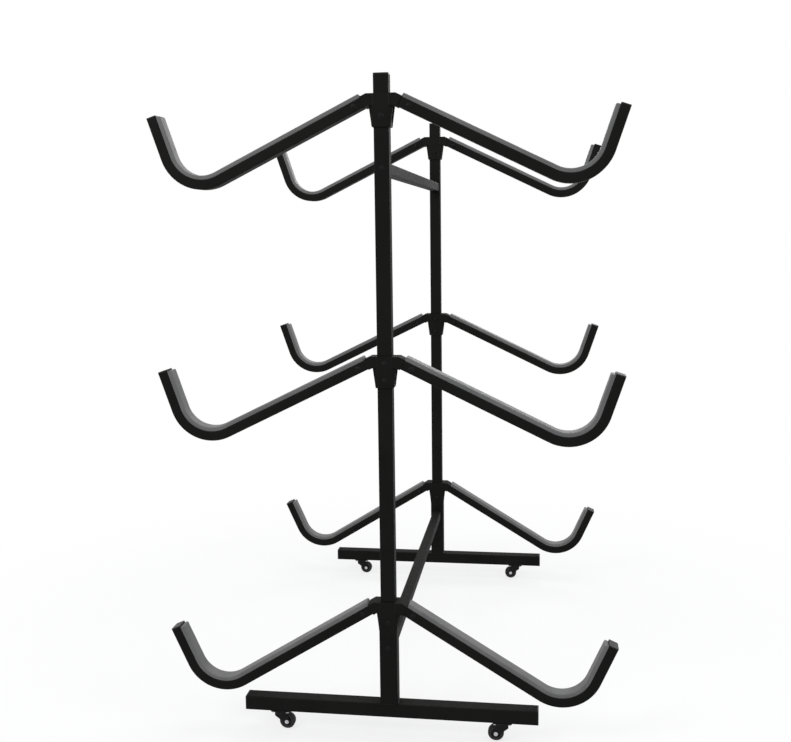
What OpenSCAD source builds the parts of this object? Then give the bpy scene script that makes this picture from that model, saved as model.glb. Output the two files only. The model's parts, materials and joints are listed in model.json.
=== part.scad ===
// Freestanding rack with three tiers of padded J-shaped cradles on each side.
// Axes: X across the arms, Y from the front post to the rear post, Z up from the floor.

/* [Frame] */
// Distance between the front and rear posts, centre to centre
station_spacing = 1500; // [1000:10:2000]
// Height of the finished uprights above the floor
rack_height = 2040; // [1800:5:2400]
// Height of the uprights above the top tier's stubs
top_margin = 58; // [20:1:200]
// Height of the lowest pair of stubs, at their top face
low_tier_height = 442; // [420:1:520]
// Height from the lowest tier to the middle one
tier_pitch = 770; // [500:5:1000]
// Side of the square upright tube
upright_w = 45; // [40:1:50]
// Wall of the upright tube
upright_wall = 2; // [1.5:0.1:3]
// Outer corner radius of the upright, foot and sleeve tubes
tube_corner = 4; // [3.2:0.1:6]
// Length of the tube inside the joint between lower and upper upright
splice_length = 240; // [160:5:300]
// Wall of the tube inside the joint
splice_wall = 3; // [2:0.1:4]

/* [Yokes] */
// Wall of the sleeves and base posts that hold the uprights
sleeve_wall = 5; // [4:0.1:6]
// Height of each sleeve
sleeve_h = 95; // [90:1:120]
// Distance from the upright's centre to the bend of a stub
elbow_x = 40; // [36:0.5:55]
// Length of a stub beyond its bend
stub_length = 16; // [13:0.5:30]
// How far a stub stands out round its arm
stub_lip = 2.3; // [1.5:0.1:4]
// Wall of the stubs
stub_wall = 3; // [2:0.1:4]
// Thickness of a stub's closed end
stub_plate = 5; // [3:0.5:6]
// Length of the spigot that carries an arm, beyond its stub
spigot_length = 60; // [40:2:100]
// Wall of the spigots
spigot_wall = 3; // [2:0.1:4]
// Thickness of the gusset plates under the stubs
gusset_t = 5; // [3:0.5:8]

/* [Arms] */
// Width of the arm tube, front to back
arm_depth = 50; // [40:1:54]
// Height of the arm tube, across the slope
arm_h = 30; // [25:1:36]
// Wall of the arm tube
arm_wall = 2; // [1.5:0.1:3]
// Outer corner radius of the arm tube
arm_corner = 3.5; // [3.2:0.1:5]
// Slope of the arms on the two upper tiers, in degrees
arm_slope = 26; // [20:0.5:30]
// Slope of the arms on the lowest tier, in degrees
low_arm_slope = 31.5; // [24:0.5:33]
// Length of the straight run, from the stub's bend to the J
arm_run = 508; // [400:2:540]
// Radius of the J, at the middle of the tube
bend_r = 116; // [90:1:130]
// Straight length of the upturned tip, with its cap
tip_length = 130; // [80:1:170]

/* [Padding strips] */
// Width of a padding strip
pad_w = 46; // [34:1:50]
// Thickness of a padding strip
pad_t = 13; // [9:0.5:16]
// Radius of the long edges of a padding strip
pad_corner = 4; // [2:0.5:8]
// Distance from the end of a padding strip to the end of the tip
pad_tip_gap = 6; // [4:1:20]

/* [Base] */
// Length of a foot, with its caps
foot_length = 934; // [820:2:1000]
// Width of the foot tube, front to back
foot_depth = 50; // [46:1:60]
// Height of the foot tube
foot_h = 45; // [40:1:50]
// Wall of the foot tube
foot_wall = 2.5; // [2:0.1:3]
// Side of the square spreader beams
beam_w = 35; // [30:1:40]
// Wall of the spreader beams
beam_wall = 2; // [1.5:0.1:3]
// Thickness of the plate inside each end of a beam
beam_plate = 6; // [5:0.5:10]
// Height of the low beam, at its top face
low_beam_height = 311; // [290:1:320]
// Distance of the top beam's top face below the top tier
top_beam_drop = 197; // [150:1:300]

/* [Caps and bolts] */
// Thickness of the visible flange of each plastic cap
cap_flange = 4; // [3:0.5:6]
// Depth of the plug that holds each cap
cap_plug = 18; // [12:1:30]
// Wall of the plug
cap_wall = 2.5; // [2:0.1:4]
// Diameter of the bolts
bolt_d = 8; // [6:0.5:8]
// Diameter of the domed bolt heads
bolt_head_d = 17; // [14:0.5:18]
// Height of the domed bolt heads
bolt_head_h = 4; // [3:0.5:5]
// Width of a nut across its flats
nut_af = 13; // [11:0.5:13]
// Height of a nut
nut_h = 7; // [5:0.5:9]
// Length of bolt that shows beyond a nut
bolt_tail = 3; // [1:0.5:6]

/* [Casters] */
// Height of a caster, from the floor to the top of its plate
caster_h = 64; // [62:1:76]
// Distance from a foot's end to the caster's swivel axis
caster_inset = 112; // [60:1:160]
// Distance from the swivel axis to the wheel's axle
caster_trail = 20; // [16:0.5:24]
// Diameter of a wheel
wheel_d = 50; // [46:0.5:52]
// Width of the wheel's core
wheel_w = 22; // [18:0.5:24]
// Thickness of the tyre
tyre_t = 6; // [4:0.5:8]
// Length of the caster's plate, along the foot
plate_l = 60; // [56:1:70]
// Width of the caster's plate, across the foot
plate_w = 50; // [48:1:60]
// Thickness of the plate
plate_t = 2.5; // [2:0.1:4]
// Thickness of the fork's steel
fork_t = 2.5; // [2:0.1:3]
// Diameter of the king pin and of the axle
pin_d = 8; // [7:0.5:9]

/* [Fits] */
// Clearance of a tube that slides into another
slide_gap = 0.3; // [0.2:0.05:0.5]
// Clearance of bolts in their holes
bolt_gap = 0.3; // [0.2:0.05:0.5]
// Clearance of a pin or thread that fills its hole
pin_gap = 0.06; // [0.03:0.01:0.09]
// Clearance between pieces that move past each other
running_gap = 1; // [0.5:0.1:1.5]

/* [Hidden] */
$fn = 48;
TIERS = ["low", "mid", "top"];
LOW = 0;
MID = 1;
TOP = 2;
STATIONS = ["front", "rear"];
SIDES = ["left", "right"];

STEEL_COLOR = [0.05, 0.05, 0.055];
PAD_COLOR = [0.13, 0.13, 0.135];
CAP_COLOR = [0.08, 0.08, 0.085];
BOLT_COLOR = [0.07, 0.07, 0.075];
CASTER_COLOR = [0.10, 0.10, 0.105];
ZINC_COLOR = [0.62, 0.63, 0.65];
TYRE_COLOR = [0.07, 0.07, 0.07];
HUB_COLOR = [0.22, 0.22, 0.23];

through = 1;          // how far a cut runs past a face
joint = 0.01;         // how far a shank runs into its head
bend_step = acos(0.658944);   // half the angle of an arm's J
bend_excess = 30;             // drawn past the end of the J, then cut off
least_corner = 0.5;           // smallest corner radius inside a tube or on a plug
sleeve_w = upright_w + 2 * (slide_gap + sleeve_wall);
sleeve_corner = tube_corner + sleeve_wall / 2;
stub_h = arm_h + 2 * stub_lip;
stub_depth = arm_depth + 2 * stub_lip;
foot_top = caster_h + foot_h;
upright_end = rack_height - cap_flange;
base_post_top = low_tier_height - sleeve_h;
splice_z = tier_height(MID) - sleeve_h / 2;
low_beam_z = low_beam_height - beam_w / 2;
top_beam_z = tier_height(TOP) - top_beam_drop - beam_w / 2;
arm_start = stub_length + slide_gap;
arm_bolt_s = stub_length + spigot_length / 2;
caster_x = foot_length / 2 - caster_inset;
bolt_r = bolt_d / 2;
bolt_hole_r = bolt_r + bolt_gap;
thread_r = bolt_r + pin_gap;
bolt_bevel = 0.8;
nut_collar_h = 2.5;      // round part of a lock nut, beyond its hexagon
nut_collar_step = 0.6;   // from the hexagon's flats to the collar
splice_bolt_step = 26;   // from the joint of the uprights to each bolt

// Caster sizes
axle_z = wheel_d / 2;
plate_z = caster_h - plate_t;
race_d = 30;             // raised ring under the plate
race_h = 3;
crown_d = 44;
crown_h = 9;
crown_rim = 3;
plate_corner = 5;
crown_top = plate_z - running_gap;
crown_bottom = crown_top - crown_h;
fork_shoulder = 7;       // straight part of a leg, below the crown
fork_gap = wheel_w + 2 * running_gap;
axle_boss_r = 9;
axle_head_d = 13;
axle_head_h = 3;
kingpin_head_h = 2.5;
kingpin_head_d = 15;
screw_d = 6;
screw_head_af = 10;
screw_head_h = 4;
screw_x = 46;            // spacing of the screws along the foot
screw_y = 34;            // spacing of the screws across the foot
screw_reach = 6;         // length of a screw inside the foot

function tier_height(tier) =
  tier == TOP ? rack_height - top_margin : low_tier_height + tier * tier_pitch;
function tier_slope(tier) = tier == LOW ? low_arm_slope : arm_slope;
function station_y(station) = (station == 0 ? -1 : 1) * station_spacing / 2;
function side_x(side) = side == 0 ? -1 : 1;
// Heights of the bolts through a sleeve: the middle one spans the joint of the uprights
function sleeve_bolts(tier) =
  tier == MID ? [splice_z - splice_bolt_step, splice_z + splice_bolt_step]
              : [tier_height(tier) - (sleeve_h + stub_h) / 2];

// ---- Shapes shared by several pieces ----

// Rectangle with rounded corners, made of true arcs
module rounded_rect(w, h, r) {
  square([w - 2 * r, h], center = true);
  square([w, h - 2 * r], center = true);
  for (x = [-1, 1], y = [-1, 1])
    translate([x * (w / 2 - r), y * (h / 2 - r)])
      circle(r);
}

// Section of a tube with rounded corners
module tube_outline(w, h, r, wall) {
  difference() {
    rounded_rect(w, h, r);
    rounded_rect(w - 2 * wall, h - 2 * wall, r - wall);
  }
}

// Tube along Z with rounded corners
module tube(w, h, r, wall, length) {
  linear_extrude(length)
    tube_outline(w, h, r, wall);
}

// Cap for a tube: a flange on the end and a hollow plug inside, along +Z
module tube_cap(w, h, r, wall) {
  plug_corner = max(r - wall - slide_gap, least_corner);
  plug_w = w - 2 * (wall + slide_gap);
  plug_h = h - 2 * (wall + slide_gap);
  linear_extrude(cap_flange)
    rounded_rect(w, h, r);
  translate([0, 0, -cap_plug])
    difference() {
      linear_extrude(cap_plug)
        rounded_rect(plug_w, plug_h, plug_corner);
      translate([0, 0, -through])
        linear_extrude(cap_plug)
          square([plug_w - 2 * cap_wall, plug_h - 2 * cap_wall], center = true);
    }
}

// Turns a shape drawn along Z so that it runs along Y
module along_y() {
  rotate([-90, 0, 0])
    children();
}

// Round hole or shank along Y, from one place to another
module y_rod(r, from, to) {
  translate([0, from, 0])
    along_y()
      cylinder(r = r, h = to - from);
}

// Low domed head that rises along -Y from the origin
module domed_head() {
  rise = bolt_head_h;
  dome_r = (pow(bolt_head_d / 2, 2) + pow(rise, 2)) / (2 * rise);
  intersection() {
    translate([0, dome_r - rise, 0])
      sphere(dome_r);
    y_rod(bolt_head_d / 2, -rise, 0);
  }
}

// Bolt through a wall stack: head at -Y, shank of the given length with a bevelled end
module bolt(length) {
  domed_head();
  y_rod(bolt_r, -joint, length - bolt_bevel);
  translate([0, length - bolt_bevel, 0])
    along_y()
      cylinder(r1 = bolt_r, r2 = bolt_r - bolt_bevel, h = bolt_bevel);
}

// Lock nut with its seat at the origin, rising along +Y: a hexagon, then a round collar
module nut() {
  difference() {
    union() {
      along_y()
        cylinder(r = nut_af / 2 / cos(30), h = nut_h - nut_collar_h, $fn = 6);
      y_rod(nut_af / 2 - nut_collar_step, 0, nut_h);
    }
    y_rod(thread_r, -through, nut_h + through);
  }
}

// Puts a piece at a station, turned so that its -Y side faces outwards
module at_station(station) {
  translate([0, station_y(station), 0])
    mirror([0, station, 0])
      children();
}

// Puts a piece in an arm's own frame: X down the slope from the stub's bend, Z across it
module on_arm(tier, side) {
  mirror([1 - side, 0, 0])
    translate([elbow_x, 0, tier_height(tier) - stub_h / 2])
      rotate([0, tier_slope(tier), 0])
        children();
}

// Puts a piece in the frame of an arm's upturned tip, where the J ends.
// The turn takes two equal steps, whose sine and cosine are short decimals.
module on_tip() {
  translate([arm_run, 0, bend_r])
    rotate([0, -bend_step, 0])
      rotate([0, -bend_step, 0])
        translate([0, 0, -bend_r])
          children();
}

// Follows the arm's path with an outline whose X is the arm's depth and Y its height,
// between a start on the straight run and a length of straight tip
module arm_path(start, tip) {
  translate([arm_run, 0, 0])
    rotate([90, 0, -90])
      linear_extrude(arm_run - start)
        children();
  difference() {
    translate([arm_run, 0, bend_r])
      rotate([90, 0, 0])
        rotate([0, 0, -90])
          rotate_extrude(angle = 2 * bend_step + bend_excess, $fn = 96)
            translate([bend_r, 0])
              rotate(90)
                children();
    // The excess is cut off where the tip begins
    on_tip()
      translate([0, -arm_depth, -arm_depth])
        cube(2 * arm_depth);
  }
  on_tip()
    rotate([90, 0, 90])
      linear_extrude(tip)
        children();
}

// ---- Base ----

module foot_tube(station) {
  color(STEEL_COLOR)
    translate([0, station_y(station), caster_h + foot_h / 2])
      difference() {
        length = foot_length - 2 * cap_flange;
        translate([-length / 2, 0, 0])
          rotate([90, 0, 90])
            tube(foot_depth, foot_h, tube_corner, foot_wall, length);
        for (side = [-1, 1], x = [-1, 1], y = [-1, 1])
          translate([side * caster_x + x * screw_x / 2, y * screw_y / 2, -foot_h / 2 - through])
            cylinder(d = screw_d + 2 * pin_gap, h = foot_wall + 2 * through);
      }
}

module foot_end_caps() {
  color(CAP_COLOR)
    for (station = [0, 1], side = [0, 1])
      translate([0, station_y(station), caster_h + foot_h / 2])
        mirror([1 - side, 0, 0])
          translate([foot_length / 2 - cap_flange, 0, 0])
            rotate([90, 0, 90])
              tube_cap(foot_depth, foot_h, tube_corner, foot_wall);
}

module base_post(station) {
  color(STEEL_COLOR)
    at_station(station)
      difference() {
        translate([0, 0, foot_top])
          tube(sleeve_w, sleeve_w, sleeve_corner, sleeve_wall, base_post_top - foot_top);
        translate([0, 0, low_beam_z])
          y_rod(bolt_hole_r, -sleeve_w, sleeve_w);
      }
}

// ---- Uprights ----

module lower_upright(station) {
  color(STEEL_COLOR)
    at_station(station)
      difference() {
        translate([0, 0, foot_top])
          tube(upright_w, upright_w, tube_corner, upright_wall, splice_z - foot_top);
        for (z = [low_beam_z, sleeve_bolts(LOW)[0], sleeve_bolts(MID)[0]])
          translate([0, 0, z])
            y_rod(bolt_hole_r, -upright_w, upright_w);
      }
}

module upper_upright(station) {
  color(STEEL_COLOR)
    at_station(station)
      difference() {
        translate([0, 0, splice_z])
          tube(upright_w, upright_w, tube_corner, upright_wall, upright_end - splice_z);
        for (z = [top_beam_z, sleeve_bolts(TOP)[0], sleeve_bolts(MID)[1]])
          translate([0, 0, z])
            y_rod(bolt_hole_r, -upright_w, upright_w);
      }
}

module upright_splices() {
  splice_w = upright_w - 2 * (upright_wall + slide_gap);
  splice_corner = splice_wall + least_corner;
  color(STEEL_COLOR)
    for (station = [0, 1])
      at_station(station)
        difference() {
          translate([0, 0, splice_z - splice_length / 2])
            tube(splice_w, splice_w, splice_corner, splice_wall, splice_length);
          for (z = sleeve_bolts(MID))
            translate([0, 0, z])
              y_rod(bolt_hole_r, -upright_w, upright_w);
        }
}

module upright_caps() {
  color(CAP_COLOR)
    for (station = [0, 1])
      at_station(station)
        translate([0, 0, upright_end])
          tube_cap(upright_w, upright_w, tube_corner, upright_wall);
}

// ---- Yokes ----

// Side view of a stub, round the origin at its bend: a short level run, then the slope
module stub_outline(tier, half_h, start_x, length) {
  slope = tier_slope(tier);
  mitre = half_h * tan(slope / 2);
  mouth_x = length * cos(slope);
  mouth_z = -length * sin(slope);
  polygon([
    [start_x, half_h],
    [mitre, half_h],
    [mouth_x + half_h * sin(slope), mouth_z + half_h * cos(slope)],
    [mouth_x - half_h * sin(slope), mouth_z - half_h * cos(slope)],
    [-mitre, -half_h],
    [start_x, -half_h]
  ]);
}

// A stub's outside or its hollow, on the right-hand side of a sleeve
module stub_run(tier, depth, half_h, start_x, length) {
  translate([elbow_x, depth / 2, tier_height(tier) - stub_h / 2])
    rotate([90, 0, 0])
      linear_extrude(depth)
        stub_outline(tier, half_h, start_x - elbow_x, length);
}

// Tube that stands on a stub's closed end and fills the arm's bore
module spigot() {
  w = arm_depth - 2 * (arm_wall + slide_gap);
  h = arm_h - 2 * (arm_wall + slide_gap);
  root = stub_plate / 2;
  translate([stub_length - root, 0, 0])
    rotate([90, 0, 90])
      tube(w, h, spigot_wall + least_corner, spigot_wall, root + spigot_length);
}

module gussets(tier) {
  leg = elbow_x - sleeve_w / 2 - stub_h / 2 * tan(tier_slope(tier) / 2);
  top = tier_height(tier) - stub_h;
  bottom = tier_height(tier) - sleeve_h;
  for (y = [-1, 1])
    translate([0, y * (sleeve_w / 2 - sleeve_corner - gusset_t / 2) + gusset_t / 2, 0])
      rotate([90, 0, 0])
        linear_extrude(gusset_t)
          polygon([
            [sleeve_w / 2 - sleeve_wall / 2, top + stub_wall / 2],
            [sleeve_w / 2 + leg, top + stub_wall / 2],
            [sleeve_w / 2 + leg, top],
            [sleeve_w / 2, bottom],
            [sleeve_w / 2 - sleeve_wall / 2, bottom]
          ]);
}

module yoke(tier, station) {
  top = tier_height(tier);
  color(STEEL_COLOR)
    at_station(station)
      difference() {
        union() {
          translate([0, 0, top - sleeve_h])
            linear_extrude(sleeve_h)
              rounded_rect(sleeve_w, sleeve_w, sleeve_corner);
          for (side = [0, 1]) {
            mirror([1 - side, 0, 0]) {
              stub_run(tier, stub_depth, stub_h / 2, sleeve_w / 2 - sleeve_corner, stub_length);
              gussets(tier);
            }
            on_arm(tier, side)
              spigot();
          }
        }
        for (side = [0, 1])
          mirror([1 - side, 0, 0])
            stub_run(tier, stub_depth - 2 * stub_wall, stub_h / 2 - stub_wall, sleeve_w / 2,
                     stub_length - stub_plate);
        translate([0, 0, top - sleeve_h - through])
          linear_extrude(sleeve_h + 2 * through)
            rounded_rect(upright_w + 2 * slide_gap, upright_w + 2 * slide_gap,
                         sleeve_corner - sleeve_wall);
        for (z = sleeve_bolts(tier))
          translate([0, 0, z])
            y_rod(bolt_hole_r, -sleeve_w, sleeve_w);
        for (side = [0, 1])
          on_arm(tier, side)
            translate([arm_bolt_s, 0, 0])
              y_rod(bolt_hole_r, -arm_depth, arm_depth);
      }
}

// ---- Arms ----

module arm(tier, station, side) {
  color(STEEL_COLOR)
    at_station(station)
      on_arm(tier, side)
        difference() {
          arm_path(arm_start, tip_length - cap_flange)
            tube_outline(arm_depth, arm_h, arm_corner, arm_wall);
          translate([arm_bolt_s, 0, 0])
            y_rod(bolt_hole_r, -arm_depth, arm_depth);
        }
}

// Outline of a padding strip on the arm's inner face: flat, with its two outer edges rounded
module pad_outline() {
  translate([0, arm_h / 2]) {
    translate([-pad_w / 2, 0])
      square([pad_w, pad_t - pad_corner]);
    translate([-pad_w / 2 + pad_corner, 0])
      square([pad_w - 2 * pad_corner, pad_t]);
    for (x = [-1, 1])
      translate([x * (pad_w / 2 - pad_corner), pad_t - pad_corner])
        circle(pad_corner);
  }
}

module pads(tier, station) {
  color(PAD_COLOR)
    at_station(station)
      for (side = [0, 1])
        on_arm(tier, side)
          arm_path(arm_start, tip_length - pad_tip_gap)
            pad_outline();
}

module arm_tip_caps() {
  color(CAP_COLOR)
    for (tier = [0, 1, 2], station = [0, 1], side = [0, 1])
      at_station(station)
        on_arm(tier, side)
          on_tip()
            translate([tip_length - cap_flange, 0, 0])
              rotate([90, 0, 90])
                tube_cap(arm_depth, arm_h, arm_corner, arm_wall);
}

// ---- Spreader beams ----

module spreader_beam(z, length) {
  color(STEEL_COLOR)
    translate([0, -length / 2, z])
      difference() {
        union() {
          along_y()
            tube(beam_w, beam_w, tube_corner, beam_wall, length);
          for (y = [0, length - beam_plate])
            translate([0, y, 0])
              along_y()
                linear_extrude(beam_plate)
                  square(beam_w - beam_wall, center = true);
        }
        y_rod(thread_r, -through, length + through);
      }
}

// ---- Bolts and nuts ----

module frame_bolts() {
  arm_bolt_length = arm_depth + nut_h + bolt_tail;
  sleeve_bolt_length = sleeve_w + nut_h + bolt_tail;
  color(BOLT_COLOR)
    for (station = [0, 1])
      at_station(station) {
        for (tier = [0, 1, 2]) {
          for (z = sleeve_bolts(tier))
            translate([0, -sleeve_w / 2, z])
              bolt(sleeve_bolt_length);
          for (side = [0, 1])
            on_arm(tier, side)
              translate([arm_bolt_s, -arm_depth / 2, 0])
                bolt(arm_bolt_length);
        }
        translate([0, -sleeve_w / 2, low_beam_z])
          bolt(sleeve_w + beam_plate + bolt_tail);
        translate([0, -upright_w / 2, top_beam_z])
          bolt(upright_w + beam_plate + bolt_tail);
      }
}

module frame_nuts() {
  color(BOLT_COLOR)
    for (station = [0, 1])
      at_station(station)
        for (tier = [0, 1, 2]) {
          for (z = sleeve_bolts(tier))
            translate([0, sleeve_w / 2, z])
              nut();
          for (side = [0, 1])
            on_arm(tier, side)
              translate([arm_bolt_s, arm_depth / 2, 0])
                nut();
        }
}

// ---- Casters ----

// Puts a caster's piece at its swivel axis, trailing towards the rack's centre
module at_caster(station, side) {
  at_station(station)
    mirror([side, 0, 0])
      translate([-caster_x, 0, 0])
        children();
}

module caster_plates() {
  color(CASTER_COLOR)
    for (station = [0, 1], side = [0, 1])
      at_caster(station, side)
        difference() {
          union() {
            translate([0, 0, plate_z])
              linear_extrude(plate_t)
                rounded_rect(plate_l, plate_w, plate_corner);
            translate([0, 0, plate_z - race_h])
              cylinder(d = race_d, h = race_h + plate_t / 2);
          }
          translate([0, 0, plate_z - race_h - through])
            cylinder(r = pin_d / 2 + pin_gap, h = race_h + plate_t + 2 * through);
          for (x = [-1, 1], y = [-1, 1])
            translate([x * screw_x / 2, y * screw_y / 2, plate_z - through])
              cylinder(r = screw_d / 2 + bolt_gap, h = plate_t + 2 * through);
        }
}

module caster_screws() {
  color(ZINC_COLOR)
    for (station = [0, 1], side = [0, 1], x = [-1, 1], y = [-1, 1])
      at_caster(station, side)
        translate([x * screw_x / 2, y * screw_y / 2, plate_z]) {
          translate([0, 0, -screw_head_h])
            cylinder(r = screw_head_af / 2 / cos(30), h = screw_head_h, $fn = 6);
          translate([0, 0, -joint])
            cylinder(d = screw_d, h = joint + plate_t + foot_wall + screw_reach);
        }
}

module caster_kingpins() {
  color(ZINC_COLOR)
    for (station = [0, 1], side = [0, 1])
      at_caster(station, side) {
        translate([0, 0, crown_bottom - running_gap / 2 - kingpin_head_h])
          cylinder(d = kingpin_head_d, h = kingpin_head_h);
        translate([0, 0, crown_bottom - running_gap / 2 - joint])
          cylinder(d = pin_d, h = caster_h - crown_bottom + running_gap / 2);
      }
}

// Side view of one leg: a plate that runs straight down from the crown, then leans to the axle
module fork_leg_outline() {
  lean = atan2(caster_trail, crown_bottom - axle_z);
  leg_top = crown_bottom + fork_t;
  leg_shoulder = crown_bottom - fork_shoulder;
  translate([caster_trail, axle_z])
    circle(axle_boss_r);
  polygon([
    [-crown_d / 2 + crown_rim, leg_top],
    [crown_d / 2 - crown_rim, leg_top],
    [caster_trail + axle_boss_r * cos(lean / 2), axle_z + axle_boss_r * sin(lean / 2)],
    [caster_trail - axle_boss_r * cos(lean), axle_z - axle_boss_r * sin(lean)],
    [-crown_d / 2 + crown_rim, leg_shoulder]
  ]);
}

module caster_fork(station, side) {
  cup_d = race_d + 2 * running_gap;
  color(CASTER_COLOR)
    at_caster(station, side)
      difference() {
        union() {
          translate([0, 0, crown_bottom])
            cylinder(d = crown_d, h = crown_h);
          for (y = [-1, 1])
            translate([0, y * (fork_gap + fork_t) / 2 + fork_t / 2, 0])
              rotate([90, 0, 0])
                linear_extrude(fork_t)
                  fork_leg_outline();
        }
        // Race cup in the crown, round the plate's raised ring
        translate([0, 0, crown_top - race_h])
          cylinder(d = cup_d, h = race_h + through);
        translate([0, 0, crown_bottom - through])
          cylinder(r = pin_d / 2 + pin_gap, h = crown_h + 2 * through);
        translate([caster_trail, 0, axle_z])
          y_rod(pin_d / 2 + pin_gap, -crown_d, crown_d);
      }
}

module caster_axle(station, side) {
  reach = fork_gap / 2 + fork_t;
  color(ZINC_COLOR)
    at_caster(station, side)
      translate([caster_trail, 0, axle_z]) {
        y_rod(pin_d / 2, -reach - joint, reach + joint);
        for (y = [-1, 1])
          translate([0, y * (reach + axle_head_h / 2), 0])
            y_rod(axle_head_d / 2, -axle_head_h / 2, axle_head_h / 2);
      }
}

module caster_hub(station, side) {
  rim_r = wheel_d / 2 - tyre_t - pin_gap;
  web_t = 7;
  boss_r = 8;
  rim_t = 3.5;
  color(HUB_COLOR)
    at_caster(station, side)
      translate([caster_trail, 0, axle_z])
        difference() {
          y_rod(rim_r, -wheel_w / 2, wheel_w / 2);
          for (y = [-1, 1])
            translate([0, y * (wheel_w + web_t) / 4 + y * through / 2, 0])
              difference() {
                y_rod(rim_r - rim_t, -(wheel_w - web_t) / 4 - through / 2,
                      (wheel_w - web_t) / 4 + through / 2);
                y_rod(boss_r, -wheel_w, wheel_w);
              }
          y_rod(pin_d / 2 + pin_gap, -wheel_w, wheel_w);
        }
}

module caster_tyre(station, side) {
  side_step = 1;
  half = wheel_w / 2 - side_step;
  tread_r = 3;
  color(TYRE_COLOR)
    at_caster(station, side)
      translate([caster_trail, 0, axle_z])
        along_y()
          rotate_extrude($fn = 96)
            translate([wheel_d / 2 - tyre_t, -half]) {
              square([tyre_t - tread_r, 2 * half]);
              translate([0, tread_r])
                square([tyre_t, 2 * (half - tread_r)]);
              for (y = [tread_r, 2 * half - tread_r])
                translate([tyre_t - tread_r, y])
                  circle(tread_r);
            }
}

// ---- One line for each node ----

for (station = [0, 1]) {
  name = STATIONS[station];
  foot_tube(station);
  base_post(station);
  lower_upright(station);
  upper_upright(station);
  for (tier = [0, 1, 2]) {
    tier_name = str(TIERS[tier], "_", name);
    yoke(tier, station);
    pads(tier, station);
    for (side = [0, 1])
      arm(tier, station, side);
  }
  for (side = [0, 1]) {
    caster_name = str(name, "_", SIDES[side]);
    caster_fork(station, side);
    caster_axle(station, side);
    caster_hub(station, side);
    caster_tyre(station, side);
  }
}
foot_end_caps();
upright_splices();
upright_caps();
arm_tip_caps();
spreader_beam(low_beam_z, station_spacing - sleeve_w);  // spreader_beam_low
spreader_beam(top_beam_z, station_spacing - upright_w);  // spreader_beam_top
frame_bolts();
frame_nuts();
caster_plates();
caster_screws();
caster_kingpins();
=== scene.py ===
import math

import bmesh
import bpy
from mathutils import Matrix, Vector, noise
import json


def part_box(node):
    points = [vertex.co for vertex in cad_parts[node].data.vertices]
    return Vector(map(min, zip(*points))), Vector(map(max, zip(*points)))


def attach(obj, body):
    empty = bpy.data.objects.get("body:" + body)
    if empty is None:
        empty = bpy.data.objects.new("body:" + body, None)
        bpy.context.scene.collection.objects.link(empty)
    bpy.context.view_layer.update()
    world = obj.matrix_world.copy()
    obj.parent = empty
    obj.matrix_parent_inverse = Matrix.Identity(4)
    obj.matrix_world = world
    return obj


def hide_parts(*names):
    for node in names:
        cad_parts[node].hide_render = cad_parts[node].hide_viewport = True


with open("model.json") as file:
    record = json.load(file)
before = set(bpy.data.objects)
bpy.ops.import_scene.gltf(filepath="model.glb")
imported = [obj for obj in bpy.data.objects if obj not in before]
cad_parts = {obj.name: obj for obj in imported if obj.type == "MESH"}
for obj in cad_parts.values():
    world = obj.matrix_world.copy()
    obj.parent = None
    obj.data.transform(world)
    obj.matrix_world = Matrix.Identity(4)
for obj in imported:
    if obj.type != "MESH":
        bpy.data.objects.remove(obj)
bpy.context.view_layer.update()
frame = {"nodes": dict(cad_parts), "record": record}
nodes = frame["nodes"]

# ---------------------------------------------------------------------------
# Sizes of the rack in metres: read off the nodes' boxes, or else the source's own values
# ---------------------------------------------------------------------------
TIERS = ("low", "mid", "top")
STATIONS = {"front": -1, "rear": 1}
SIDES = {"left": -1, "right": 1}


def centre_of(node):
    low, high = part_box(node)
    return (low + high) / 2


def size_of(node):
    low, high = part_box(node)
    return high - low


STATION_Y = {station: centre_of(f"upper_upright_{station}").y for station in STATIONS}
TIER_TOP = {tier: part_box(f"yoke_{tier}_front")[1].z for tier in TIERS}
SLEEVE_W = size_of("base_post_front").x
SLEEVE_H = size_of("yoke_top_front").z
SLEEVE_CORNER = 0.0065
FOOT_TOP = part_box("foot_tube_front")[1].z
FOOT_DEPTH = size_of("foot_tube_front").y
GUSSET_T = 0.005

ARM_DEPTH = size_of("arm_mid_front_right").y
ARM_H = 0.030
STUB_LIP = 0.0023
STUB_H = ARM_H + 2 * STUB_LIP
STUB_DEPTH = ARM_DEPTH + 2 * STUB_LIP

# An arm's own path, along the middle of its tube from the yoke's elbow
ELBOW_X = 0.040
SLOPE = {"low": math.radians(31.5), "mid": math.radians(26), "top": math.radians(26)}
ARM_START = 0.0163
ARM_RUN = 0.508
BEND_R = 0.116
COS_HALF_BEND = 0.658944
BEND = 2 * math.acos(COS_HALF_BEND)
BEND_LENGTH = BEND_R * BEND
TIP = 0.130
PATH_END = ARM_RUN + BEND_LENGTH + TIP

PAD_W = size_of("pads_mid_front").y
PAD_T = 0.013
PAD_CORNER = 0.004
PAD_GAP = 0.006


def smooth_step(a, b, x):
    t = min(max((x - a) / (b - a), 0.0), 1.0)
    return t * t * (3 - 2 * t)


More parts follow.
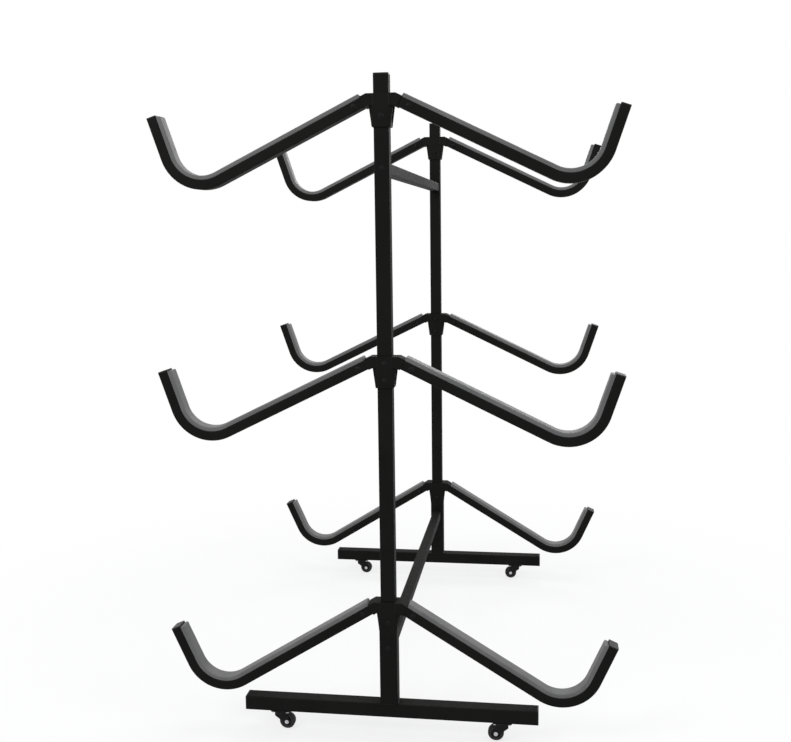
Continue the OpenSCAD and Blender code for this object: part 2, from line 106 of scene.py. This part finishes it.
# ---------------------------------------------------------------------------
# Materials
# ---------------------------------------------------------------------------
class Nodes:
    """A short way to write a node tree."""

    def __init__(self, tree):
        self.tree = tree
        self.tree.nodes.clear()

    def node(self, kind, **settings):
        n = self.tree.nodes.new(kind)
        for key, value in settings.items():
            setattr(n, key, value)
        return n

    def feed(self, socket, value):
        """Links a socket, or sets a number or colour on the input itself."""
        if isinstance(value, bpy.types.NodeSocket):
            self.tree.links.new(value, socket)
        else:
            socket.default_value = value

    def math(self, operation, a, b, clamp=False):
        n = self.node("ShaderNodeMath", operation=operation, use_clamp=clamp)
        self.feed(n.inputs[0], a)
        self.feed(n.inputs[1], b)
        return n.outputs[0]

    def times(self, a, b):
        return self.math("MULTIPLY", a, b)

    def plus(self, a, b):
        return self.math("ADD", a, b)

    def light(self, kind, colour, strength):
        """A shader that gives off light: an emission, or a world's background."""
        n = self.node(kind)
        n.inputs["Color"].default_value = (*colour, 1)
        n.inputs["Strength"].default_value = strength
        return n.outputs[0]

    def shows_backdrop(self):
        """1 for a ray that shows the white backdrop: a camera's, a mirrored or a passed one."""
        ray = self.node("ShaderNodeLightPath").outputs
        seen = self.math("MAXIMUM", ray["Is Camera Ray"], ray["Is Glossy Ray"])
        return self.math("MAXIMUM", seen, ray["Is Transmission Ray"])

    def blend(self, share, first, second):
        """The first shader where the share is 0, the second where it is 1."""
        n = self.node("ShaderNodeMixShader")
        for socket, value in zip(n.inputs, (share, first, second)):
            self.feed(socket, value)
        return n.outputs[0]


class Shader(Nodes):
    """A material with one Principled surface, patterned by object coordinates."""

    def __init__(self, name):
        self.mat = bpy.data.materials.new(name)
        self.mat.use_nodes = True
        super().__init__(self.mat.node_tree)
        self.out = self.node("ShaderNodeOutputMaterial").inputs["Surface"]
        self.bsdf = self.node("ShaderNodeBsdfPrincipled")
        self.feed(self.out, self.bsdf.outputs[0])
        self.coords = self.node("ShaderNodeTexCoord").outputs["Object"]

    def set(self, name, value):
        """Sets one of the surface's own inputs."""
        self.feed(self.bsdf.inputs[name], value)

    def stretched(self, scale):
        """Coordinates that pull a pattern out along the axes of a small scale."""
        n = self.node("ShaderNodeMapping")
        self.feed(n.inputs["Vector"], self.coords)
        n.inputs["Scale"].default_value = scale
        return n.outputs[0]

    def noise(self, scale, detail, rough, vector=None, distortion=0.0):
        n = self.node("ShaderNodeTexNoise")
        self.feed(n.inputs["Vector"], vector or self.coords)
        n.inputs["Scale"].default_value = scale
        n.inputs["Detail"].default_value = detail
        n.inputs["Roughness"].default_value = rough
        n.inputs["Distortion"].default_value = distortion
        return n.outputs["Fac"]

    def voronoi(self, scale, feature="F1"):
        n = self.node("ShaderNodeTexVoronoi", feature=feature)
        self.feed(n.inputs["Vector"], self.coords)
        n.inputs["Scale"].default_value = scale
        return n.outputs["Distance"]

    def remap(self, value, low, high, to_low=0.0, to_high=1.0):
        n = self.node("ShaderNodeMapRange", interpolation_type="SMOOTHSTEP")
        self.feed(n.inputs["Value"], value)
        n.inputs["From Min"].default_value = low
        n.inputs["From Max"].default_value = high
        n.inputs["To Min"].default_value = to_low
        n.inputs["To Max"].default_value = to_high
        return n.outputs["Result"]

    def mix(self, factor, a, b):
        """Colour a where the factor is 0, colour b where it is 1; each a colour or a socket."""
        n = self.node("ShaderNodeMix", data_type="RGBA", blend_type="MIX")
        fac, first, second = n.inputs[0], n.inputs[6], n.inputs[7]
        self.feed(fac, factor)
        for socket, colour in ((first, a), (second, b)):
            self.feed(socket, colour if isinstance(colour, bpy.types.NodeSocket) else (*colour, 1))
        return n.outputs[2]

    def bump(self, height, distance, strength):
        n = self.node("ShaderNodeBump")
        n.inputs["Distance"].default_value = distance
        n.inputs["Strength"].default_value = strength
        self.feed(n.inputs["Height"], height)
        return n.outputs[0]

    def facing_up(self):
        """1 on a level top, 0 on an upright side, -1 underneath."""
        geometry = self.node("ShaderNodeNewGeometry")
        split = self.node("ShaderNodeSeparateXYZ")
        self.feed(split.inputs[0], geometry.outputs["Normal"])
        return split.outputs["Z"]

    def edges(self, radius):
        """1 at a corner that hands and hulls rub, 0 on the flats."""
        bevel = self.node("ShaderNodeBevel", samples=6)
        bevel.inputs["Radius"].default_value = radius
        geometry = self.node("ShaderNodeNewGeometry")
        dot = self.node("ShaderNodeVectorMath", operation="DOT_PRODUCT")
        self.feed(dot.inputs[0], bevel.outputs[0])
        self.feed(dot.inputs[1], geometry.outputs["Normal"])
        return self.remap(dot.outputs["Value"], 0.995, 0.90)


def powder_coat(name, colour, worn, dusty, matt=0.62, peel=1.0, specular=0.065):
    """Baked powder paint: a fine orange peel, faint drifts of gloss, dust and rubbed edges."""
    s = Shader(name)
    peel_a = s.noise(620, 3, 0.55)
    peel_b = s.noise(190, 2, 0.5)
    drift = s.noise(7, 4, 0.55)
    cloud = s.noise(38, 4, 0.6)
    grains = s.voronoi(410)
    specks = s.times(s.remap(grains, 0.10, 0.03), s.remap(cloud, 0.46, 0.62))
    scratch_lines = s.noise(60, 3, 0.6, s.stretched((1.0, 1.0, 22.0)))
    scratches = s.times(s.remap(scratch_lines, 0.665, 0.70), s.remap(drift, 0.50, 0.66))
    top = s.remap(s.facing_up(), 0.55, 0.98)
    dust = s.times(top, s.remap(cloud, 0.30, 0.75, 0.60, 1.0))
    rub = s.times(s.edges(0.0014), s.remap(s.noise(75, 4, 0.65), 0.42, 0.62))

    base = s.mix(s.remap(drift, 0.3, 0.7), colour, tuple(c * 1.35 for c in colour))
    base = s.mix(s.times(rub, 0.55), base, worn)
    base = s.mix(s.times(scratches, 0.35), base, worn)
    base = s.mix(s.times(dust, 0.04), base, dusty)
    base = s.mix(s.times(specks, 0.22), base, dusty)
    s.set("Base Color", base)

    rough = s.remap(cloud, 0.25, 0.75, matt - 0.02, matt + 0.04)
    rough = s.plus(rough, s.times(dust, 0.10))
    rough = s.math("SUBTRACT", rough, s.times(rub, 0.08), clamp=True)
    s.set("Roughness", rough)
    s.set("Specular IOR Level", specular)

    height = s.plus(s.times(peel_a, 0.55), peel_b)
    height = s.plus(height, s.times(specks, 0.5))
    s.set("Normal", s.bump(height, 0.00016 * peel, 0.75))
    return s.mat


def strip_rubber(name):
    """Dense closed rubber of the padding strips: finely pebbled, chalky on top, a few scuffs."""
    s = Shader(name)
    pebble = s.voronoi(900, "SMOOTH_F1")
    grain = s.noise(1500, 3, 0.6)
    drift = s.noise(11, 4, 0.55)
    cloud = s.noise(46, 5, 0.62)
    top = s.remap(s.facing_up(), 0.35, 0.98)
    chalk = s.times(s.remap(cloud, 0.38, 0.72), s.remap(top, 0, 1, 0.35, 1.0))
    scuffs = s.noise(70, 4, 0.7, s.stretched((0.5, 3.0, 0.5)), distortion=0.6)
    scuffs = s.times(s.remap(scuffs, 0.58, 0.68), s.remap(drift, 0.42, 0.6))

    base = s.mix(s.remap(drift, 0.3, 0.7), (0.110, 0.110, 0.111), (0.130, 0.129, 0.127))
    base = s.mix(s.times(chalk, 0.20), base, (0.20, 0.199, 0.196))
    base = s.mix(s.times(scuffs, 0.18), base, (0.24, 0.238, 0.232))
    s.set("Base Color", base)
    rough = s.remap(cloud, 0.25, 0.75, 0.50, 0.60)
    s.set("Roughness", s.plus(rough, s.times(scuffs, 0.08)))
    s.set("Specular IOR Level", 0.16)
    s.set("Sheen Weight", 0.05)
    s.set("Sheen Roughness", 0.40)
    height = s.plus(s.times(pebble, 0.6), s.times(grain, 0.4))
    s.set("Normal", s.bump(height, 0.00008, 0.5))
    return s.mat


def moulded_plastic(name, colour, matt, grain=1.0):
    """Injection-moulded plastic with a spark-eroded grain and faint flow marks."""
    s = Shader(name)
    fine = s.noise(1400, 3, 0.65)
    coarse = s.noise(420, 2, 0.5)
    drift = s.noise(24, 4, 0.55, distortion=0.8)
    cloud = s.noise(60, 4, 0.6)
    top = s.remap(s.facing_up(), 0.5, 0.98)
    dust = s.times(top, s.remap(cloud, 0.3, 0.72, 0.3, 1.0))
    rub = s.times(s.edges(0.0010), s.remap(cloud, 0.40, 0.60))
    base = s.mix(s.remap(drift, 0.3, 0.7), colour, tuple(c * 1.4 for c in colour))
    base = s.mix(s.times(rub, 0.4), base, tuple(c * 3 + 0.02 for c in colour))
    base = s.mix(s.times(dust, 0.22), base, (0.12, 0.118, 0.114))
    s.set("Base Color", base)
    s.set("Specular IOR Level", 0.22)
    rough = s.remap(cloud, 0.25, 0.75, matt - 0.06, matt + 0.08)
    s.set("Roughness", s.plus(rough, s.times(dust, 0.12)))
    height = s.plus(s.times(fine, 0.6), coarse)
    s.set("Normal", s.bump(height, 0.00010 * grain, 0.8))
    return s.mat


def zinc(name, colour, dark):
    """Plated steel: spangled zinc with fine drawn lines and a dull bloom in places."""
    s = Shader(name)
    grains = s.voronoi(320)
    drift = s.noise(130, 4, 0.6)
    lines = s.noise(900, 3, 0.6, s.stretched((1.0, 0.06, 1.0)))
    bloom = s.remap(drift, 0.45, 0.68)
    base = s.mix(s.remap(grains, 0.2, 0.9), colour, tuple(c * 0.82 for c in colour))
    base = s.mix(s.times(bloom, 0.55), base, dark)
    s.set("Base Color", base)
    s.set("Metallic", 1.0)
    rough = s.remap(drift, 0.3, 0.7, 0.28, 0.46)
    s.set("Roughness", s.plus(rough, s.times(lines, 0.10)))
    height = s.plus(lines, s.times(grains, 0.4))
    s.set("Normal", s.bump(height, 0.00006, 0.7))
    return s.mat


def tread_rubber(name):
    """Hard black wheel rubber, scuffed and dusty where it rolls."""
    s = Shader(name)
    cloud = s.noise(90, 5, 0.62)
    grain = s.noise(1300, 3, 0.6)
    scuff = s.remap(s.noise(240, 4, 0.7, s.stretched((1.0, 3.0, 1.0))), 0.52, 0.66)
    base = s.mix(s.remap(cloud, 0.3, 0.7), (0.010, 0.010, 0.010), (0.018, 0.0175, 0.017))
    base = s.mix(s.times(scuff, 0.26), base, (0.075, 0.073, 0.070))
    s.set("Base Color", base)
    s.set("Roughness", s.remap(cloud, 0.25, 0.75, 0.52, 0.70))
    s.set("Specular IOR Level", 0.18)
    height = s.plus(grain, s.times(scuff, 0.5))
    s.set("Normal", s.bump(height, 0.00012, 0.8))
    return s.mat


def weld_metal(name):
    """A weld bead under the powder coat: the same black, laid thicker and glossier."""
    s = Shader(name)
    cloud = s.noise(150, 4, 0.6)
    fine = s.noise(700, 3, 0.6)
    base = s.mix(s.remap(cloud, 0.35, 0.65), (0.0045, 0.0045, 0.0044), (0.0075, 0.0074, 0.0072))
    s.set("Base Color", base)
    s.set("Roughness", s.remap(cloud, 0.3, 0.7, 0.30, 0.44))
    s.set("Specular IOR Level", 0.12)
    s.set("Normal", s.bump(fine, 0.00012, 0.7))
    return s.mat


DUSTY_COAT = (0.080, 0.078, 0.073)
WORN_FASTENER = (0.060, 0.060, 0.060)
COAT = powder_coat(
    "black_powder_coat", (0.0046, 0.0045, 0.0042), (0.030, 0.029, 0.028), DUSTY_COAT
)
CASTER_COAT = powder_coat(
    "black_caster_steel", (0.0060, 0.0060, 0.0062), WORN_FASTENER, (0.090, 0.088, 0.083),
    matt=0.42, peel=0.6, specular=0.09,
)
BOLT_COAT = powder_coat(
    "black_bolt_coat", (0.0052, 0.0052, 0.0054), WORN_FASTENER, DUSTY_COAT,
    matt=0.50, peel=0.5, specular=0.08,
)
WELD = weld_metal("weld_under_coat")
RUBBER = strip_rubber("padding_strip_rubber")
CAP = moulded_plastic("black_cap_plastic", (0.0075, 0.0075, 0.0077), matt=0.42)
WHEEL = moulded_plastic("wheel_core_plastic", (0.018, 0.018, 0.0185), matt=0.40, grain=0.8)
ZINC = zinc("plated_steel", (0.56, 0.57, 0.59), (0.30, 0.31, 0.33))
TREAD = tread_rubber("wheel_tread_rubber")

MATERIAL_OF_SLOT = {
    "frame_steel": COAT,
    "pad_rubber": RUBBER,
    "cap_plastic": CAP,
    "black_bolts": BOLT_COAT,
    "zinc_steel": ZINC,
    "caster_steel": CASTER_COAT,
    "wheel_plastic": WHEEL,
    "tyre_rubber": TREAD,
}
SLOT_OF_NODE = {p["node"]: p["material_slot"] for p in frame["record"]["subparts"]}
BODY_OF_NODE = {
    node: body
    for body, members in frame["record"]["behaviour"]["bodies"].items()
    for node in members
}
for name, obj in nodes.items():
    obj.data.materials.clear()
    obj.data.materials.append(MATERIAL_OF_SLOT[SLOT_OF_NODE[name]])


# ---------------------------------------------------------------------------
# Meshes
# ---------------------------------------------------------------------------
def placed(name, data):
    """A new object of the scene that holds a mesh, a light or a camera."""
    obj = bpy.data.objects.new(name, data)
    bpy.context.scene.collection.objects.link(obj)
    return obj


def piece_from(name, verts, faces, material, smooth_angle=None):
    """A new piece of the rack's fixed frame, with faces turned outwards."""
    mesh = bpy.data.meshes.new(name)
    mesh.from_pydata([tuple(v) for v in verts], [], faces)
    mesh.validate()
    bm = bmesh.new()
    bm.from_mesh(mesh)
    bmesh.ops.recalc_face_normals(bm, faces=bm.faces)
    bm.to_mesh(mesh)
    bm.free()
    mesh.materials.append(material)
    mesh.polygons.foreach_set("use_smooth", [True] * len(mesh.polygons))
    if smooth_angle is not None:
        mesh.set_sharp_from_angle(angle=math.radians(smooth_angle))
    obj = placed(name, mesh)
    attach(obj, "frame")
    return obj


def tube_of_rings(rings):
    """Vertices and faces of a skin over rings with equal numbers of points, closed at both ends."""
    count = len(rings[0])
    verts = [p for ring in rings for p in ring]
    faces = []
    for i in range(len(rings) - 1):
        a, b = i * count, (i + 1) * count
        for j in range(count):
            k = (j + 1) % count
            faces.append((a + j, a + k, b + k, b + j))
    faces.append(tuple(range(count))[::-1])
    faces.append(tuple(range((len(rings) - 1) * count, len(rings) * count)))
    return verts, faces


SAME_POINT = 2e-6
FLAT_ANGLE = math.radians(1.0)
SHARP_ANGLE = math.radians(32)


def dressed(node, width, segments):
    """The node's own shape with its sharp edges really rounded, as made edges are."""
    slot = SLOT_OF_NODE[node]
    name = node + "_finished"
    mesh = nodes[node].data.copy()
    mesh.name = name
    bm = bmesh.new()
    bm.from_mesh(mesh)
    bmesh.ops.remove_doubles(bm, verts=bm.verts, dist=SAME_POINT)
    bmesh.ops.dissolve_limit(bm, angle_limit=FLAT_ANGLE, verts=bm.verts, edges=bm.edges)
    sharp = [
        e for e in bm.edges if len(e.link_faces) == 2 and e.calc_face_angle(0.0) > SHARP_ANGLE
    ]
    bmesh.ops.bevel(
        bm, geom=sharp, offset=width, offset_type="OFFSET", segments=segments,
        profile=0.5, affect="EDGES", clamp_overlap=True,
    )
    bm.to_mesh(mesh)
    bm.free()
    cad_normals = mesh.attributes.get("custom_normal")
    if cad_normals:
        mesh.attributes.remove(cad_normals)
    mesh.polygons.foreach_set("use_smooth", [True] * len(mesh.polygons))
    mesh.materials.clear()
    mesh.materials.append(MATERIAL_OF_SLOT[slot])
    obj = placed(name, mesh)
    weight = obj.modifiers.new("flat_faces_stay_flat", "WEIGHTED_NORMAL")
    weight.keep_sharp = True
    weight.weight = 100
    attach(obj, BODY_OF_NODE[node])
    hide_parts(node)


# ---------------------------------------------------------------------------
# Padding strips
# ---------------------------------------------------------------------------
def arm_frame(tier, station, side):
    """Matrix to the rack from an arm's own frame: X down its slope, Y towards the other
    station, Z out of its inner face."""
    turn = Matrix.Rotation(SLOPE[tier], 4, "Y")
    place = Matrix.Translation((ELBOW_X, 0, TIER_TOP[tier] - STUB_H / 2))
    flip = Matrix.Diagonal((SIDES[side], -STATIONS[station], 1, 1))
    return Matrix.Translation((0, STATION_Y[station], 0)) @ flip @ place @ turn


def along_arm(s):
    """Middle of the arm tube at a length s from the elbow, and the way to its inner face."""
    if s <= ARM_RUN:
        return Vector((s, 0, 0)), Vector((0, 0, 1))
    turn = min((s - ARM_RUN) / BEND_R, BEND)
    at = Vector((ARM_RUN + BEND_R * math.sin(turn), 0, BEND_R * (1 - math.cos(turn))))
    tangent = Vector((math.cos(turn), 0, math.sin(turn)))
    normal = Vector((-math.sin(turn), 0, math.cos(turn)))
    rest = max(s - ARM_RUN - BEND_LENGTH, 0.0)
    return at + tangent * rest, normal


PAD_CROWN = 0.0003      # how much lower the top lies at its edges
PAD_INSET = 0.0001      # the sides stay this far inside the solid's
PAD_FOOT_INSET = 0.0004
PAD_SLACK = 0.0003      # the top sinks this much, so that no wave rises past the solid
PAD_WAVE = 0.00022
PAD_SAG = 0.00025
NOSE = 0.0035           # length of the rounding at either end of a strip
NOSE_RISE = 0.72        # height and width that are left at the very end
NOSE_WIDTH = 0.94
NOSE_STEP, NEAR_STEP, FAR_STEP = 0.0004, 0.0018, 0.0052
TOP_STEPS, CORNER_STEPS = 5, 6


def strip_profile():
    """Half outline of a strip from its middle to its foot: (distance across, height)."""
    points = []
    flat = PAD_W / 2 - PAD_CORNER
    shoulder = PAD_T - PAD_CORNER
    for i in range(TOP_STEPS + 1):
        share = i / TOP_STEPS
        points.append((flat * share, PAD_T - PAD_CROWN * share**2))
    for i in range(1, CORNER_STEPS + 1):
        a = math.pi / 2 * i / CORNER_STEPS
        points.append(
            (flat + PAD_CORNER * math.sin(a), shoulder + (PAD_CORNER - PAD_CROWN) * math.cos(a))
        )
    for share in (0.75, 0.5, 0.25):
        points.append((PAD_W / 2 - PAD_INSET, shoulder * share))
    points.append((PAD_W / 2 - PAD_FOOT_INSET, 0.0))
    return points


def strip_places(start, end):
    """Lengths at which a strip gets a ring: close together in its noses, wide apart elsewhere."""
    places = []
    s = start
    while s < end:
        near = min(s - start, end - s)
        places.append(s)
        s += NOSE_STEP if near < NOSE else NEAR_STEP if near < 3 * NOSE else FAR_STEP
    places.append(end)
    return places


def padding_strip(tier, station, side):
    start, end = ARM_START, PATH_END - PAD_GAP
    seed = Vector((TIERS.index(tier) * 3.1, STATIONS[station] * 7.7, SIDES[side] * 5.3))
    half = strip_profile()
    outline = [(-y, h) for y, h in reversed(half[1:])] + half
    to_rack = arm_frame(tier, station, side)
    rings = []
    for s in strip_places(start, end):
        at, normal = along_arm(s)
        t = min(min(s - start, end - s) / NOSE, 1.0)
        fill = math.sqrt(max(1 - (1 - t) ** 2, 0.0))
        rise = NOSE_RISE + (1 - NOSE_RISE) * fill
        narrow = NOSE_WIDTH + (1 - NOSE_WIDTH) * fill
        sag = noise.noise(Vector((s * 7, 0, 3.3)) + seed) * PAD_SAG
        ring = []
        for y, h in outline:
            wave = noise.noise(Vector((s * 26, y * 55, 0)) + seed) * PAD_WAVE
            lift = h * rise - (PAD_SLACK + wave + sag) * smooth_step(0.0, PAD_T, h)
            p = at + normal * (ARM_H / 2 + lift) + Vector((0, y * narrow, 0))
            ring.append(to_rack @ p)
        rings.append(ring)
    verts, faces = tube_of_rings(rings)
    obj = piece_from(
        f"padding_strip_{tier}_{station}_{side}", verts, faces, RUBBER, 50
    )
    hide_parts(f"pads_{tier}_{station}")


for tier in TIERS:
    for station in STATIONS:
        for side in SIDES:
            padding_strip(tier, station, side)


# ---------------------------------------------------------------------------
# Weld beads
# ---------------------------------------------------------------------------
YOKE_BEAD = 0.0015
FOOT_BEAD = 0.0026
BEAD_STEP = 0.0011
BEAD_POINTS = 10
BEAD_FLATNESS = 0.8
BEAD_DRIFT = 0.0003
BEAD_TAPER = 0.003      # length over which a bead swells from its end
BEAD_END = 0.35         # share of its radius at that end
RIPPLE = 0.10
RIPPLE_PITCH = 0.0034
CORNER_GAP = 0.001      # beads stop this far from the edge that they run up to
GUSSET_RISE = 0.004     # a gusset's bead starts this far above the sleeve's lower edge
LEG_GAP = 0.0008        # and ends this far from the end of the gusset's leg
UNDER_GAP = 0.006       # what the bead under a stub leaves free next to a gusset
POST_SIDE_GAP = 0.005   # and what a base post's beads leave free at its corners
POST_END_GAP = 0.004
POST_PROUD = 0.0002     # the end beads lie this far outside the foot's side


def bead(start, end, outwards, radius, seed):
    """Rings of a rippled fillet from start to end; outwards leans the bead off the corner."""
    total = (end - start).length
    tangent = (end - start).normalized()
    side = (outwards - tangent * outwards.dot(tangent)).normalized()
    other = tangent.cross(side)
    steps = max(int(total / BEAD_STEP), 4)
    rings = []
    for i in range(steps + 1):
        s = total * i / steps
        at = start.lerp(end, s / total)
        ripple = 1 + RIPPLE * math.sin(2 * math.pi * s / RIPPLE_PITCH)
        ripple += RIPPLE * noise.noise(Vector((s * 160, seed, 1.7)))
        t = min(min(s, total - s) / BEAD_TAPER, 1.0)
        taper = math.sqrt(max(1 - (1 - t) ** 2, 0.0))
        r = radius * ripple * (BEAD_END + (1 - BEAD_END) * taper)
        drift = side * (noise.noise(Vector((s * 60, seed, 9.1))) * BEAD_DRIFT)
        rings.append(
            [
                at + drift + (side * math.cos(a) * BEAD_FLATNESS + other * math.sin(a)) * r
                for a in (2 * math.pi * j / BEAD_POINTS for j in range(BEAD_POINTS))
            ]
        )
    return rings


def weld_piece(name, runs, radius):
    """One piece of several beads, each run a start, an end and the way the bead faces."""
    verts, faces = [], []
    for number, (start, end, outwards) in enumerate(runs):
        seed = number * 2.7 + len(name)
        v, f = tube_of_rings(bead(Vector(start), Vector(end), Vector(outwards), radius, seed))
        base = len(verts)
        verts += v
        faces += [tuple(i + base for i in face) for face in f]
    piece_from(name, verts, faces, WELD)


def yoke_runs(tier, station):
    """Where a yoke is welded: stubs and gussets to the sleeve, gussets to the stubs."""
    y0 = STATION_Y[station]
    top = TIER_TOP[tier]
    under = top - STUB_H
    half = SLEEVE_W / 2
    side_y = STUB_DEPTH / 2
    dy = side_y - (half - SLEEVE_CORNER)
    at_x = half - SLEEVE_CORNER + math.sqrt(SLEEVE_CORNER**2 - dy**2)
    gusset_y = half - SLEEVE_CORNER - GUSSET_T / 2
    gusset_foot = top - SLEEVE_H + GUSSET_RISE
    leg = ELBOW_X - half - STUB_H / 2 * math.tan(SLOPE[tier] / 2)
    leg_end = half + leg - LEG_GAP
    runs = []
    for x in (-1, 1):
        for y in (-1, 1):
            sx, sy = x * at_x, y0 + y * side_y
            low, high = under + CORNER_GAP, top - CORNER_GAP
            runs.append(((sx, sy, low), (sx, sy, high), (x * 0.3, y * 0.9, 0)))
            for face in (-1, 1):
                gy = y0 + y * gusset_y + face * GUSSET_T / 2
                head, near = under - CORNER_GAP, half + CORNER_GAP
                runs.append(((x * half, gy, gusset_foot), (x * half, gy, head), (x, face, 0)))
                runs.append(((x * near, gy, under), (x * leg_end, gy, under), (0, face, -1)))
        low_y, high_y = y0 - gusset_y + UNDER_GAP, y0 + gusset_y - UNDER_GAP
        runs.append(((x * half, low_y, under), (x * half, high_y, under), (x, 0, -1)))
    return runs


def foot_runs(station):
    """Where a base post is welded to its foot: along both sides, then across both ends."""
    y0 = STATION_Y[station]
    half, foot = SLEEVE_W / 2, FOOT_DEPTH / 2
    low_y, high_y = y0 - foot + POST_SIDE_GAP, y0 + foot - POST_SIDE_GAP
    end_x = half - POST_END_GAP
    runs = []
    for x in (-1, 1):
        runs.append(((x * half, low_y, FOOT_TOP), (x * half, high_y, FOOT_TOP), (x, 0, 1)))
    for y in (-1, 1):
        end_y = y0 + y * (foot + POST_PROUD)
        runs.append(((-end_x, end_y, FOOT_TOP), (end_x, end_y, FOOT_TOP), (0, y, -1)))
    return runs


for tier in TIERS:
    for station in STATIONS:
        weld_piece(f"weld_beads_yoke_{tier}_{station}", yoke_runs(tier, station), YOKE_BEAD)
for station in STATIONS:
    weld_piece(f"weld_beads_foot_{station}", foot_runs(station), FOOT_BEAD)


# ---------------------------------------------------------------------------
# Finished edges of the pressed, cut and moulded pieces
# ---------------------------------------------------------------------------
ROUNDED = (             # (nodes, radius of their edges, segments)
    ([f"yoke_{tier}_{station}" for tier in TIERS for station in STATIONS], 0.0009, 3),
    ([f"base_post_{station}" for station in STATIONS], 0.0008, 3),
    (["foot_end_caps", "upright_caps", "arm_tip_caps"], 0.0010, 3),
    (["frame_bolts", "frame_nuts", "caster_plates", "caster_screws"], 0.0004, 2),
)
ROUNDED_IN_CASTER = {"fork": 0.0006, "axle": 0.0004, "hub": 0.0005}

for members, radius, segments in ROUNDED:
    for node in members:
        dressed(node, radius, segments)
for station in STATIONS:
    for side in SIDES:
        for kind, radius in ROUNDED_IN_CASTER.items():
            dressed(f"caster_{kind}_{station}_{side}", radius, 2)


# ---------------------------------------------------------------------------
# Floor, light and camera
# ---------------------------------------------------------------------------
FLOOR_REACH = 40.0
FLOOR_FADE = (0.95, 2.4)        # distances from the rack's middle between which the floor pales
FLOOR_GLOW = (0.72, 1.0)        # share of the white backdrop near the rack and beyond the fade


def studio_floor():
    """A matt pale floor that takes the rack's shadow and pales into the white backdrop."""
    mesh = bpy.data.meshes.new("studio_floor")
    corners = ((-1, -1), (1, -1), (1, 1), (-1, 1))
    mesh.from_pydata(
        [(x * FLOOR_REACH, y * FLOOR_REACH, 0) for x, y in corners], [], [(0, 1, 2, 3)]
    )
    floor = placed("studio_floor", mesh)
    s = Shader("studio_floor")
    base = s.mix(s.noise(3, 4, 0.5), (0.80, 0.80, 0.80), (0.83, 0.83, 0.83))
    s.set("Base Color", base)
    s.set("Roughness", 0.9)
    s.set("Specular IOR Level", 0.1)
    glow = s.light("ShaderNodeEmission", (1, 1, 1), 1.0)
    length = s.node("ShaderNodeVectorMath", operation="LENGTH")
    s.feed(length.inputs[0], s.coords)
    fade = s.remap(length.outputs["Value"], *FLOOR_FADE, *FLOOR_GLOW)
    share = s.times(s.shows_backdrop(), fade)
    s.feed(s.out, s.blend(share, s.bsdf.outputs[0], glow))
    mesh.materials.append(s.mat)


def area_light(name, at, towards, size, power):
    data = bpy.data.lights.new(name, "AREA")
    data.shape = "RECTANGLE"
    data.size, data.size_y = size
    data.energy = power
    obj = placed(name, data)
    obj.location = at
    obj.rotation_mode = "QUATERNION"
    obj.rotation_quaternion = (Vector(towards) - Vector(at)).to_track_quat("-Z", "Y")
    obj.visible_camera = False


def studio_world():
    """Soft light from all round, and a white backdrop for what a ray sees or mirrors."""
    world = bpy.data.worlds.new("studio_world")
    bpy.context.scene.world = world
    world.use_nodes = True
    t = Nodes(world.node_tree)
    lighting = t.light("ShaderNodeBackground", (0.95, 0.97, 1.0), 0.45)
    backdrop = t.light("ShaderNodeBackground", (1, 1, 1), 1.0)
    output = t.node("ShaderNodeOutputWorld")
    t.feed(output.inputs["Surface"], t.blend(t.shows_backdrop(), lighting, backdrop))


LIGHTS = (              # (name, place, where it points, size, watts)
    ("key_soft", (-2.6, -3.4, 3.9), (0, 0, 1.0), (2.2, 2.2), 105),
    ("fill_soft", (3.4, -2.2, 2.6), (0, 0, 1.0), (2.6, 2.6), 50),
    ("top_soft", (0.2, 0.4, 4.6), (0, 0, 1.0), (3.2, 3.2), 90),
    ("back_soft", (0.8, 4.2, 3.2), (0, 0, 1.1), (2.6, 2.2), 55),
)
studio_floor()
for light in LIGHTS:
    area_light(*light)
studio_world()

# The camera stands where the photograph was taken from
CAMERA_AT = Vector((0.467, -3.761, 1.598))
YAW, PITCH, ROLL = math.radians(-8.25), math.radians(8.08), math.radians(-0.72)
SENSOR_WIDTH, LENS = 36.0, 46.24        # millimetres
forward = Vector(
    (math.sin(YAW) * math.cos(PITCH), math.cos(YAW) * math.cos(PITCH), -math.sin(PITCH))
)
level_right = Vector((math.cos(YAW), -math.sin(YAW), 0))
level_up = level_right.cross(forward)
right = level_right * math.cos(ROLL) + level_up * math.sin(ROLL)
up = level_up * math.cos(ROLL) - level_right * math.sin(ROLL)
camera_data = bpy.data.cameras.new("photo_camera")
camera_data.sensor_width = SENSOR_WIDTH
camera_data.lens = LENS
camera_data.clip_start, camera_data.clip_end = 0.05, 200
camera = placed("photo_camera", camera_data)
axes = Matrix((right, up, -forward)).transposed()
camera.matrix_world = Matrix.Translation(CAMERA_AT) @ axes.to_4x4()
bpy.context.scene.camera = camera

bpy.context.scene.view_settings.view_transform = "Standard"

# The dressed rack's box has to stay inside the CAD model's
bpy.context.view_layer.update()
